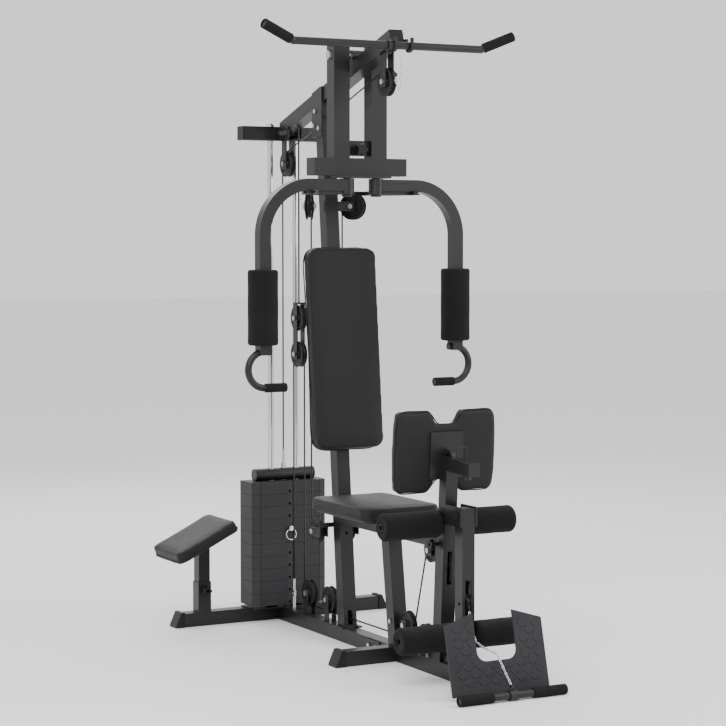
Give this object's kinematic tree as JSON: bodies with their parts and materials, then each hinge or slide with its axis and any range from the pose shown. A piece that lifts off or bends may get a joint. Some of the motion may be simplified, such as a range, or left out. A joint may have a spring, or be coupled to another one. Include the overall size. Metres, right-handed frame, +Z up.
{
  "type": "multi station home gym",
  "caption": "Home gym with a pin-selected weight stack, press and pec arms, high and low cable pulleys, leg developer, back and seat pads, curl pads and foot plate",
  "frame": {"origin": "on the floor, in the middle of the base beam just in front of the rear upright", "axes": "+X to the right seen from the front, +Y to the weight stack at the back, +Z up"},
  "size_m": [0.9563, 1.706, 2.098],
  "materials": {
    "powder_coat": "satin powder coat",
    "rubber_black": "matte ribbed",
    "vinyl_black": "grained vinyl",
    "chrome_steel": "polished",
    "plate_paint": "satin grey",
    "foam_black": "closed cell foam",
    "plastic_black": "moulded",
    "cable_coat": "nylon coated wire rope",
    "tread_plate": "raised tread",
    "zinc_steel": "zinc plated"
  },
  "bodies": {
    "frame": {"base_frame": "powder_coat", "end_caps": "plastic_black", "rear_upright": "powder_coat", "top_beam": "powder_coat", "seat_frame": "powder_coat", "front_post": "powder_coat", "foot_plate": "tread_plate", "guide_rods": "chrome_steel", "stack_base": "powder_coat", "plates_lower": "plate_paint", "back_pad": "vinyl_black", "seat_pad": "vinyl_black", "pad_boards": "powder_coat", "pulley_brackets": "powder_coat", "pulley_bolts": "zinc_steel", "frame_bolts": "zinc_steel", "knee_tube": "powder_coat", "knee_foams": "foam_black", "cable_lat": "cable_coat", "cable_low": "cable_coat", "cable_pec": "cable_coat", "cable_stack": "cable_coat", "chain_lat": "chrome_steel", "chain_low": "chrome_steel"},
    "stack": {"plates_upper": "plate_paint", "stack_head": "powder_coat", "selector_rod": "zinc_steel"},
    "pin": {"selector_pin": "chrome_steel"},
    "press": {"press_frame": "powder_coat", "press_axle": "zinc_steel"},
    "press_lock": {"lock_knob": "plastic_black"},
    "arm_left": {"pec_arm_left": "powder_coat", "pec_foam_left": "foam_black"},
    "arm_right": {"pec_arm_right": "powder_coat", "pec_foam_right": "foam_black"},
    "leg": {"leg_arm": "powder_coat", "leg_foams": "foam_black"},
    "curl": {"curl_post": "powder_coat", "curl_pad": "vinyl_black"},
    "curl_lock": {"curl_knob": "plastic_black"},
    "arm_rest": {"arm_post": "powder_coat", "arm_pad": "vinyl_black"},
    "arm_lock": {"arm_knob": "plastic_black"},
    "long_bar": {"lat_bar": "powder_coat", "lat_grips": "rubber_black"},
    "short_bar": {"low_bar": "powder_coat", "low_grips": "rubber_black"},
    "wheel_rear": {"pulley_rear": "plastic_black"},
    "wheel_front": {"pulley_front": "plastic_black"},
    "wheel_left": {"pulley_left": "plastic_black"},
    "wheel_right": {"pulley_right": "plastic_black"},
    "wheel_block_top": {"pulley_block_top": "plastic_black"},
    "wheel_block_low": {"pulley_block_low": "plastic_black"},
    "wheel_low_rear": {"pulley_low_rear": "plastic_black"},
    "wheel_low_front": {"pulley_low_front": "plastic_black"},
    "wheels_seat": {"pulley_seat": "plastic_black"},
    "wheel_post_rear": {"pulley_post_rear": "plastic_black"},
    "wheel_post_front": {"pulley_post_front": "plastic_black"},
    "wheel_dev": {"pulley_dev": "plastic_black"},
    "wheel_leg": {"pulley_leg": "plastic_black"}
  },
  "joints": [
    {"name": "stack_lift", "type": "slide", "parent": "frame", "child": "stack", "axis": [0, 0, 1], "range_m": [0, 0.6], "deforming": ["cable_stack"]},
    {"name": "pin_pull", "type": "slide", "parent": "stack", "child": "pin", "axis": [0, -1, 0], "range_m": [0, 0.014]},
    {"name": "press_swing", "type": "hinge", "parent": "frame", "child": "press", "pos_m": [0, -0.11, 2.024], "axis": [-1, 0, 0], "range_deg": [0, 40]},
    {"name": "press_lock_pull", "type": "slide", "parent": "press", "child": "press_lock", "axis": [0, -1, 0], "range_m": [0, 0.012], "stiffness_N_per_m": 400},
    {"name": "arm_left_swing", "type": "hinge", "parent": "press", "child": "arm_left", "pos_m": [-0.056, -0.14216, 1.58], "axis": [0, 0, 1], "range_deg": [0, 60]},
    {"name": "arm_right_swing", "type": "hinge", "parent": "press", "child": "arm_right", "pos_m": [0.056, -0.14216, 1.58], "axis": [0, 0, -1], "range_deg": [0, 60]},
    {"name": "leg_swing", "type": "hinge", "parent": "frame", "child": "leg", "pos_m": [0, -0.828, 0.535], "axis": [-1, 0, 0], "range_deg": [0, 16], "deforming": ["cable_low", "chain_low"]},
    {"name": "curl_height", "type": "slide", "parent": "frame", "child": "curl", "axis": [0, -0.0628, 0.998], "range_m": [0, 0.08]},
    {"name": "curl_lock_pull", "type": "slide", "parent": "frame", "child": "curl_lock", "axis": [-1, 0, 0], "range_m": [0, 0.01], "stiffness_N_per_m": 400},
    {"name": "arm_rest_height", "type": "slide", "parent": "frame", "child": "arm_rest", "axis": [0, 0, 1], "range_m": [0, 0.08]},
    {"name": "arm_lock_pull", "type": "slide", "parent": "frame", "child": "arm_lock", "axis": [0, -1, 0], "range_m": [0, 0.01], "stiffness_N_per_m": 400},
    {"name": "long_bar_lift", "type": "slide", "parent": "frame", "child": "long_bar", "axis": [0, 0, 1], "range_m": [0, 0.06]},
    {"name": "short_bar_lift", "type": "slide", "parent": "frame", "child": "short_bar", "axis": [0, 0, 1], "range_m": [0, 0.3]},
    {"name": "wheel_rear_spin", "type": "hinge", "parent": "frame", "child": "wheel_rear", "pos_m": [0, 0.422, 1.676], "axis": [1, 0, 0], "continuous": true},
    {"name": "wheel_front_spin", "type": "hinge", "parent": "frame", "child": "wheel_front", "pos_m": [0, -0.321, 1.923], "axis": [1, 0, 0], "continuous": true},
    {"name": "wheel_left_spin", "type": "hinge", "parent": "frame", "child": "wheel_left", "pos_m": [-0.086, 0.08, 1.517], "axis": [0.8192, -0.5736, 0], "continuous": true},
    {"name": "wheel_right_spin", "type": "hinge", "parent": "frame", "child": "wheel_right", "pos_m": [0.086, 0.08, 1.517], "axis": [0.8192, 0.5736, 0], "continuous": true},
    {"name": "wheel_block_top_spin", "type": "hinge", "parent": "frame", "child": "wheel_block_top", "pos_m": [0, 0.334, 1.117], "axis": [1, 0, 0], "continuous": true},
    {"name": "wheel_block_low_spin", "type": "hinge", "parent": "frame", "child": "wheel_block_low", "pos_m": [0, 0.334, 0.987], "axis": [1, 0, 0], "continuous": true},
    {"name": "wheel_low_rear_spin", "type": "hinge", "parent": "frame", "child": "wheel_low_rear", "pos_m": [0, 0.248, 0.127], "axis": [1, 0, 0], "continuous": true},
    {"name": "wheel_low_front_spin", "type": "hinge", "parent": "frame", "child": "wheel_low_front", "pos_m": [0, 0.09, 0.127], "axis": [1, 0, 0], "continuous": true},
    {"name": "wheels_seat_spin", "type": "hinge", "parent": "frame", "child": "wheels_seat", "pos_m": [0, 0.07572, 0.378], "axis": [1, 0, 0], "continuous": true},
    {"name": "wheel_post_rear_spin", "type": "hinge", "parent": "frame", "child": "wheel_post_rear", "pos_m": [0, -0.466, 0.127], "axis": [1, 0, 0], "continuous": true},
    {"name": "wheel_post_front_spin", "type": "hinge", "parent": "frame", "child": "wheel_post_front", "pos_m": [0, -0.59, 0.112], "axis": [1, 0, 0], "continuous": true},
    {"name": "wheel_dev_spin", "type": "hinge", "parent": "frame", "child": "wheel_dev", "pos_m": [0, -0.628, 0.398], "axis": [1, 0, 0], "continuous": true},
    {"name": "wheel_leg_spin", "type": "hinge", "parent": "leg", "child": "wheel_leg", "pos_m": [0, -0.828, 0.255], "axis": [1, 0, 0], "continuous": true}
  ],
  "couplings": [
    {"joint": "wheel_rear_spin", "follows": "stack_lift", "rad_per_m": 23.256},
    {"joint": "wheel_front_spin", "follows": "stack_lift", "rad_per_m": 23.256}
  ]
}
